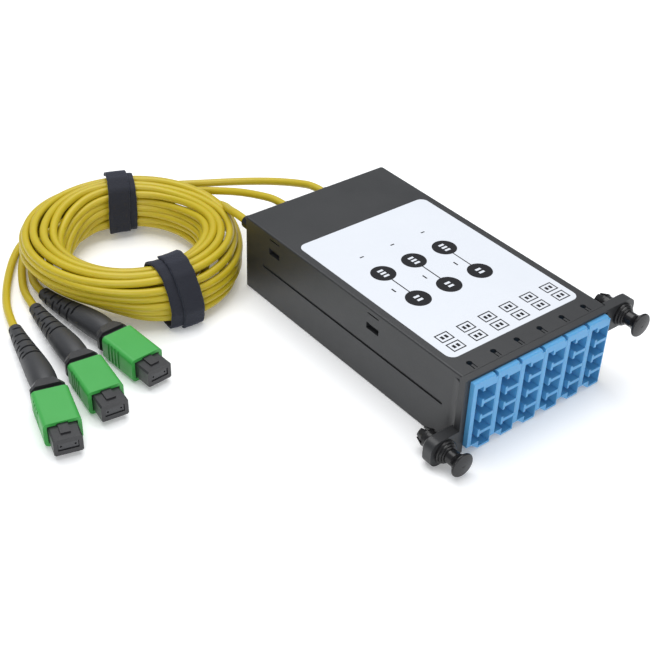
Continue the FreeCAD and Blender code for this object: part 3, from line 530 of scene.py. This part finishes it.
# Direction from the coil's centre; sideways place of the band and of its free end; the free
# end's start and finish, in degrees round the bundle from outward through up to inward; and
# what else the band holds than the coil's own turns.
strap_lays = {"strap_rear": (66.5, -0.6, 1.5, 28, 215, ((38.5, 3.2), (38.0, 6.0))),
              "strap_front": (-95.0, -2.3, 1.6, 118, -62, ())}


def felted(along, across, seed):
    """A small irregular lift, for the pile and the cut edges."""
    return (math.sin(along * 3.1 + seed) * math.sin(across * 2.3 + 1.7 * seed)
            + 0.6 * math.sin(along * 7.7 + 2.9 * seed + across * 1.3)
            + 0.4 * math.sin(across * 6.1 + along * 4.7))


def bundle_edge(around, angle, besides):
    """Farthest point of the strands' bundle in one direction, and that direction."""
    way = Vector((math.cos(angle), math.sin(angle)))
    spots = [uneven(Vector(point), around) for point in bundle_outline]
    spots += [Vector(point) for point in besides]
    return max(spots, key=lambda spot: spot.dot(way)), way


def lay_strap(mesh, around, middle, lift, start, finish, slack, seed, besides):
    """One layer: a band of constant width carried round the bundle, closed or with two ends."""
    closed = abs(finish - start) >= 359.9
    steps = 120
    fine_steps = steps * 3
    path = []
    for step in range(fine_steps):
        angle = math.radians(start + (finish - start) * step / (fine_steps - 1))
        spot, way = bundle_edge(around, angle, besides)
        path.append(spot + way * (cable_diameter / 2 + strap_ease + lift))
    lengths = [0.0]
    for one, two in zip(path, path[1:]):
        lengths.append(lengths[-1] + (two - one).length)
    rings = []
    rows = steps if closed else steps + 1
    behind = 0
    for row in range(rows):
        goal = lengths[-1] * row / steps
        while behind < len(path) - 2 and lengths[behind + 1] < goal:
            behind += 1
        gap = max(1e-9, lengths[behind + 1] - lengths[behind])
        spot = path[behind].lerp(path[behind + 1], (goal - lengths[behind]) / gap)
        run = (path[behind + 1] - path[behind]).normalized()
        out = Vector((run.y, -run.x)) * (1 if finish > start else -1)
        share = row / steps
        drift = middle + band_sway * math.sin(share * math.tau + seed) + slack * share
        half = layer_width / 2 + pile_lift * felted(goal * edge_stretch, 0.0, seed)
        profile = [(-half + edge_under, 0.0), (-half, edge_height), (-half + edge_over, shoulder)]
        profile += [(half * (-flat_share + 2 * flat_share * part / flat_steps), strap_layer)
                    for part in range(flat_steps + 1)]
        profile += [(half - edge_over, shoulder), (half, edge_height), (half - edge_under, 0.0)]
        ring = []
        for sideways, thick in profile:
            fuzz = pile_lift * felted(goal, sideways, seed) if thick >= shoulder else 0.0
            section = spot + out * (thick + fuzz)
            height = max(section.y, strap_floor + 0.02 * thick)
            side = drift + sideways
            turn = math.radians(around) + math.asin(side / max(section.x, least_radius))
            ring.append(mesh.verts.new((corner + (coil_centre + Vector((
                section.x * math.cos(turn), section.x * math.sin(turn), height))) * MM)))
        rings.append(ring)
    pairs = list(zip(rings, rings[1:] + rings[:1])) if closed else list(zip(rings, rings[1:]))
    for one, two in pairs:
        for place in range(len(one)):
            after = (place + 1) % len(one)
            mesh.faces.new((one[place], one[after], two[after], two[place]))
    if not closed:
        mesh.faces.new(rings[0])
        mesh.faces.new(list(reversed(rings[-1])))


for strap_name, (around, middle, end_middle, start, finish, besides) in strap_lays.items():
    strap_mesh = bmesh.new()
    lay_strap(strap_mesh, around, middle, lift=0.0, start=-90, finish=270, slack=0.0, seed=1.0,
              besides=besides)
    lay_strap(strap_mesh, around, end_middle, lift=strap_layer + layer_gap, start=start, finish=finish,
              slack=0.5, seed=2.4, besides=besides)
    bmesh.ops.recalc_face_normals(strap_mesh, faces=strap_mesh.faces)
    for face in strap_mesh.faces:
        face.smooth = True
    strap_data = bpy.data.meshes.new(strap_name + "_cloth")
    strap_mesh.to_mesh(strap_data)
    strap_mesh.free()
    strap_data.materials.append(strap_pile)
    strap_cloth = bpy.data.objects.new(strap_name + "_cloth", strap_data)
    bpy.context.collection.objects.link(strap_cloth)
    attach(strap_cloth, "cassette")
    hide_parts(strap_name)

# ---- Push-on connectors ----
# Each trunk cable ends in a ribbed rubber boot, a black plug body with its ferrule, and the
# green sleeve that is drawn back to free the plug.
boot_rubber = moulded_plastic("boot_rubber", (0.030, 0.031, 0.034), (0.040, 0.041, 0.045), 0.5,
                              grain_scale=2400, grain_depth=0.012)
plug_body_plastic = moulded_plastic("plug_body_plastic", (0.020, 0.020, 0.022), (0.028, 0.028, 0.031),
                                    0.38)
ferrule_plastic = moulded_plastic("ferrule_plastic", (0.035, 0.036, 0.040), (0.045, 0.046, 0.050), 0.2,
                                  grain_scale=4000, grain_depth=0.002)
sleeve_plastic = moulded_plastic("sleeve_plastic", (0.040, 0.32, 0.055), (0.050, 0.37, 0.070), 0.42,
                                 grain_scale=2600, grain_depth=0.01)
for index in (1, 2, 3):
    dress("connector_%d_boot" % index, boot_rubber)
    dress("connector_%d_shoulder" % index, plug_body_plastic, 0.2)
    dress("connector_%d_housing" % index, plug_body_plastic, 0.12)
    dress("connector_%d_ferrule" % index, ferrule_plastic)
    dress("connector_%d_coupling" % index, sleeve_plastic, 0.15)
    trunk_cable, mouth = trunk_cables[index - 1]
